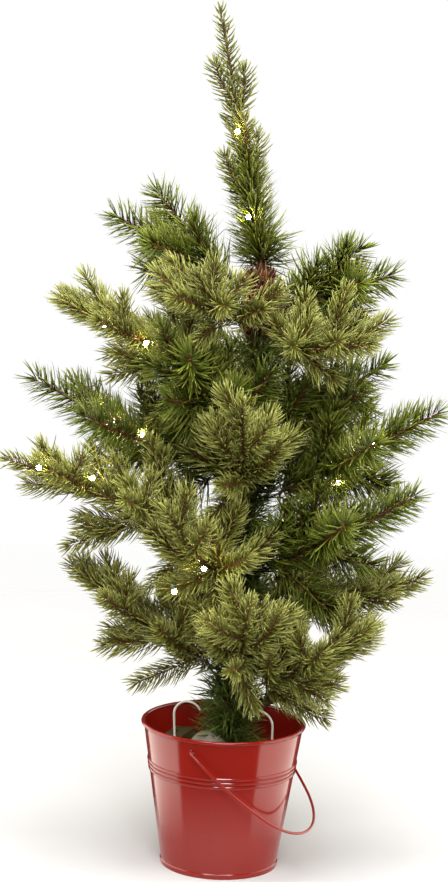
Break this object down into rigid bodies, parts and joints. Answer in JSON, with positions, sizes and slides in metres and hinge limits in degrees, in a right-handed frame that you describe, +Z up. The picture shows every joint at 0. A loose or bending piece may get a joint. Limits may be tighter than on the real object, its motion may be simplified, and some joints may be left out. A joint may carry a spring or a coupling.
{
  "type": "artificial tabletop tree",
  "caption": "Small artificial spruce with bendable needle branches and battery-lit warm lamps, standing in a painted metal bucket with a swinging wire handle",
  "frame": {"origin": "Centre of the bucket's foot ring, on the floor", "axes": "+Z up along the bucket's axis, -Y towards the viewer, +X to the viewer's right"},
  "size_m": [0.3632, 0.2902, 0.7405],
  "materials": {
    "bucket_paint": "glossy dark red enamel",
    "cement": "rough cast cement",
    "pole_steel": "dull steel tube",
    "bark": "brown shredded film wrap",
    "branch_wire": "brown coated twisted wire",
    "short_needles": "moulded olive green needles",
    "long_needles": "cut green film needles",
    "case_plastic": "dark olive moulded plastic",
    "knob_plastic": "black moulded plastic",
    "cable": "clear insulated cable",
    "lamp": "lit warm white lamp"
  },
  "bodies": {
    "bucket": {"bucket_shell": "bucket_paint", "bucket_base": "bucket_paint", "cement_foot": "cement", "trunk_pole": "pole_steel", "trunk_bark": "bark", "battery_case": "case_plastic", "light_cable": "cable"},
    "handle": {"bail_handle": "bucket_paint"},
    "leader": {"leader_wires": "branch_wire", "leader_needles": "short_needles", "leader_lamps": "lamp"},
    "lid": {"battery_lid": "case_plastic"},
    "switch": {"switch_knob": "knob_plastic"},
    "branch_01": {"branch_01_wires": "branch_wire", "branch_01_needles": "long_needles"},
    "branch_02": {"branch_02_wires": "branch_wire", "branch_02_needles": "long_needles"},
    "branch_03": {"branch_03_wires": "branch_wire", "branch_03_needles": "short_needles"},
    "branch_04": {"branch_04_wires": "branch_wire", "branch_04_needles": "short_needles"},
    "branch_05": {"branch_05_wires": "branch_wire", "branch_05_needles": "short_needles", "branch_05_lamps": "lamp"},
    "branch_06": {"branch_06_wires": "branch_wire", "branch_06_needles": "short_needles"},
    "branch_07": {"branch_07_wires": "branch_wire", "branch_07_needles": "long_needles"},
    "branch_08": {"branch_08_wires": "branch_wire", "branch_08_needles": "long_needles"},
    "branch_09": {"branch_09_wires": "branch_wire", "branch_09_needles": "short_needles"},
    "branch_10": {"branch_10_wires": "branch_wire", "branch_10_needles": "long_needles", "branch_10_lamps": "lamp"},
    "branch_11": {"branch_11_wires": "branch_wire", "branch_11_needles": "long_needles", "branch_11_lamps": "lamp"},
    "branch_12": {"branch_12_wires": "branch_wire", "branch_12_needles": "short_needles"},
    "branch_13": {"branch_13_wires": "branch_wire", "branch_13_needles": "short_needles", "branch_13_lamps": "lamp"},
    "branch_14": {"branch_14_wires": "branch_wire", "branch_14_needles": "long_needles"},
    "branch_15": {"branch_15_wires": "branch_wire", "branch_15_needles": "short_needles", "branch_15_lamps": "lamp"},
    "branch_16": {"branch_16_wires": "branch_wire", "branch_16_needles": "short_needles"},
    "branch_17": {"branch_17_wires": "branch_wire", "branch_17_needles": "short_needles"},
    "branch_18": {"branch_18_wires": "branch_wire", "branch_18_needles": "short_needles"},
    "branch_19": {"branch_19_wires": "branch_wire", "branch_19_needles": "short_needles"},
    "branch_20": {"branch_20_wires": "branch_wire", "branch_20_needles": "short_needles"},
    "branch_21": {"branch_21_wires": "branch_wire", "branch_21_needles": "short_needles"}
  },
  "joints": [
    {"name": "bail_handle_swing", "type": "hinge", "parent": "bucket", "child": "handle", "pos_m": [0, 0, 0.1165], "axis": [-0.3827, -0.9239, 0], "range_deg": [-16, 50]},
    {"name": "leader_bend", "type": "hinge", "parent": "bucket", "child": "leader", "pos_m": [0.01795, 0, 0.53077], "axis": [0, 1, 0], "range_deg": [-15, 20]},
    {"name": "battery_lid_slide", "type": "slide", "parent": "bucket", "child": "lid", "axis": [-0.0492, 0.0179, 0.9986], "range_m": [0, 0.012]},
    {"name": "switch_slide", "type": "slide", "parent": "bucket", "child": "switch", "axis": [-0.342, -0.9397, 0], "range_m": [0, 0.0038]},
    {"name": "branch_01_bend", "type": "hinge", "parent": "bucket", "child": "branch_01", "pos_m": [0.00841, 0.00205, 0.50804], "axis": [0.2249, 0.9744, -0.0067], "range_deg": [-4.46, 29.99]},
    {"name": "branch_02_bend", "type": "hinge", "parent": "bucket", "child": "branch_02", "pos_m": [0.02556, -0.0022, 0.48952], "axis": [-0.2418, -0.9703, 0.0072], "range_deg": [-4.72, 31.79]},
    {"name": "branch_03_bend", "type": "hinge", "parent": "bucket", "child": "branch_03", "pos_m": [0.01118, -0.00754, 0.47394], "axis": [-0.8287, 0.5592, 0.0246], "range_deg": [-4.4, 29.63]},
    {"name": "branch_04_bend", "type": "hinge", "parent": "bucket", "child": "branch_04", "pos_m": [0.01854, 0.00844, 0.43571], "axis": [0.9268, -0.3746, -0.0275], "range_deg": [-4.04, 27.2]},
    {"name": "branch_05_bend", "type": "hinge", "parent": "bucket", "child": "branch_05", "pos_m": [0.00588, -0.00063, 0.43008], "axis": [-0.0697, 0.9976, 0.0021], "range_deg": [-4.92, 33.14]},
    {"name": "branch_06_bend", "type": "hinge", "parent": "bucket", "child": "branch_06", "pos_m": [0.02203, -0.00632, 0.44761], "axis": [-0.6944, -0.7193, 0.0206], "range_deg": [-4.65, 31.33]},
    {"name": "branch_07_bend", "type": "hinge", "parent": "bucket", "child": "branch_07", "pos_m": [0.02189, 0.00281, 0.37158], "axis": [0.3089, -0.9511, -0.0092], "range_deg": [-2.61, 17.51]},
    {"name": "branch_08_bend", "type": "hinge", "parent": "bucket", "child": "branch_08", "pos_m": [0.00683, -0.00609, 0.38403], "axis": [-0.6688, 0.7431, 0.0199], "range_deg": [-2.48, 16.65]},
    {"name": "branch_09_bend", "type": "hinge", "parent": "bucket", "child": "branch_09", "pos_m": [0.01167, 0.00901, 0.36188], "axis": [0.9898, 0.1392, -0.0294], "range_deg": [-5.41, 36.41]},
    {"name": "branch_10_bend", "type": "hinge", "parent": "bucket", "child": "branch_10", "pos_m": [0.00312, 0.00095, 0.33612], "axis": [0.1045, 0.9945, -0.0031], "range_deg": [-4, 27]},
    {"name": "branch_11_bend", "type": "hinge", "parent": "bucket", "child": "branch_11", "pos_m": [0.02074, -0.00142, 0.32159], "axis": [-0.1564, -0.9877, 0.0046], "range_deg": [-2.83, 19]},
    {"name": "branch_12_bend", "type": "hinge", "parent": "bucket", "child": "branch_12", "pos_m": [0.01159, -0.00908, 0.33787], "axis": [-0.9971, 0.0698, 0.0296], "range_deg": [-4.77, 32.14]},
    {"name": "branch_13_bend", "type": "hinge", "parent": "bucket", "child": "branch_13", "pos_m": [0.00185, -0.00296, 0.27813], "axis": [-0.3254, 0.9455, 0.0097], "range_deg": [-3.49, 23.5]},
    {"name": "branch_14_bend", "type": "hinge", "parent": "bucket", "child": "branch_14", "pos_m": [0.01835, -0.00326, 0.25763], "axis": [-0.3582, -0.9336, 0.0106], "range_deg": [-2.72, 18.29]},
    {"name": "branch_15_bend", "type": "hinge", "parent": "bucket", "child": "branch_15", "pos_m": [0.00558, -0.00803, 0.25801], "axis": [-0.8826, 0.4695, 0.0262], "range_deg": [-5.54, 37.3]},
    {"name": "branch_16_bend", "type": "hinge", "parent": "bucket", "child": "branch_16", "pos_m": [0.01761, 0.0022, 0.22164], "axis": [0.2418, -0.9703, -0.0072], "range_deg": [-5.33, 35.9]},
    {"name": "branch_17_bend", "type": "hinge", "parent": "bucket", "child": "branch_17", "pos_m": [0.00685, 0.00896, 0.20995], "axis": [0.9844, 0.1736, -0.0292], "range_deg": [-5.75, 38.76]},
    {"name": "branch_18_bend", "type": "hinge", "parent": "bucket", "child": "branch_18", "pos_m": [0.00847, -0.00908, 0.1899], "axis": [-0.9971, -0.0698, 0.0296], "range_deg": [-5.87, 39.54]},
    {"name": "branch_19_bend", "type": "hinge", "parent": "bucket", "child": "branch_19", "pos_m": [-0.00185, -0.00032, 0.1702], "axis": [-0.0349, 0.9994, 0.001], "range_deg": [-2.58, 17.35]},
    {"name": "branch_20_bend", "type": "hinge", "parent": "bucket", "child": "branch_20", "pos_m": [0.01452, -0.00496, 0.1577], "axis": [-0.5444, -0.8387, 0.0162], "range_deg": [-3.6, 24.21]},
    {"name": "branch_21_bend", "type": "hinge", "parent": "bucket", "child": "branch_21", "pos_m": [0.01543, -0.00063, 0.13967], "axis": [-0.0697, -0.9976, 0.0021], "range_deg": [-3.87, 26.02]}
  ],
  "couplings": [
    {"joint": "branch_01_bend", "follows": "branch_10_bend", "ratio": 1.11},
    {"joint": "branch_02_bend", "follows": "branch_10_bend", "ratio": 1.177},
    {"joint": "branch_03_bend", "follows": "branch_10_bend", "ratio": 1.097},
    {"joint": "branch_04_bend", "follows": "branch_10_bend", "ratio": 1.007},
    {"joint": "branch_05_bend", "follows": "branch_10_bend", "ratio": 1.227},
    {"joint": "branch_06_bend", "follows": "branch_10_bend", "ratio": 1.16},
    {"joint": "branch_07_bend", "follows": "branch_10_bend", "ratio": 0.648},
    {"joint": "branch_08_bend", "follows": "branch_10_bend", "ratio": 0.616},
    {"joint": "branch_09_bend", "follows": "branch_10_bend", "ratio": 1.348},
    {"joint": "branch_11_bend", "follows": "branch_10_bend", "ratio": 0.703},
    {"joint": "branch_12_bend", "follows": "branch_10_bend", "ratio": 1.19},
    {"joint": "branch_13_bend", "follows": "branch_10_bend", "ratio": 0.87},
    {"joint": "branch_14_bend", "follows": "branch_10_bend", "ratio": 0.677},
    {"joint": "branch_15_bend", "follows": "branch_10_bend", "ratio": 1.381},
    {"joint": "branch_16_bend", "follows": "branch_10_bend", "ratio": 1.329},
    {"joint": "branch_17_bend", "follows": "branch_10_bend", "ratio": 1.435},
    {"joint": "branch_18_bend", "follows": "branch_10_bend", "ratio": 1.464},
    {"joint": "branch_19_bend", "follows": "branch_10_bend", "ratio": 0.642},
    {"joint": "branch_20_bend", "follows": "branch_10_bend", "ratio": 0.896},
    {"joint": "branch_21_bend", "follows": "branch_10_bend", "ratio": 0.963}
  ]
}
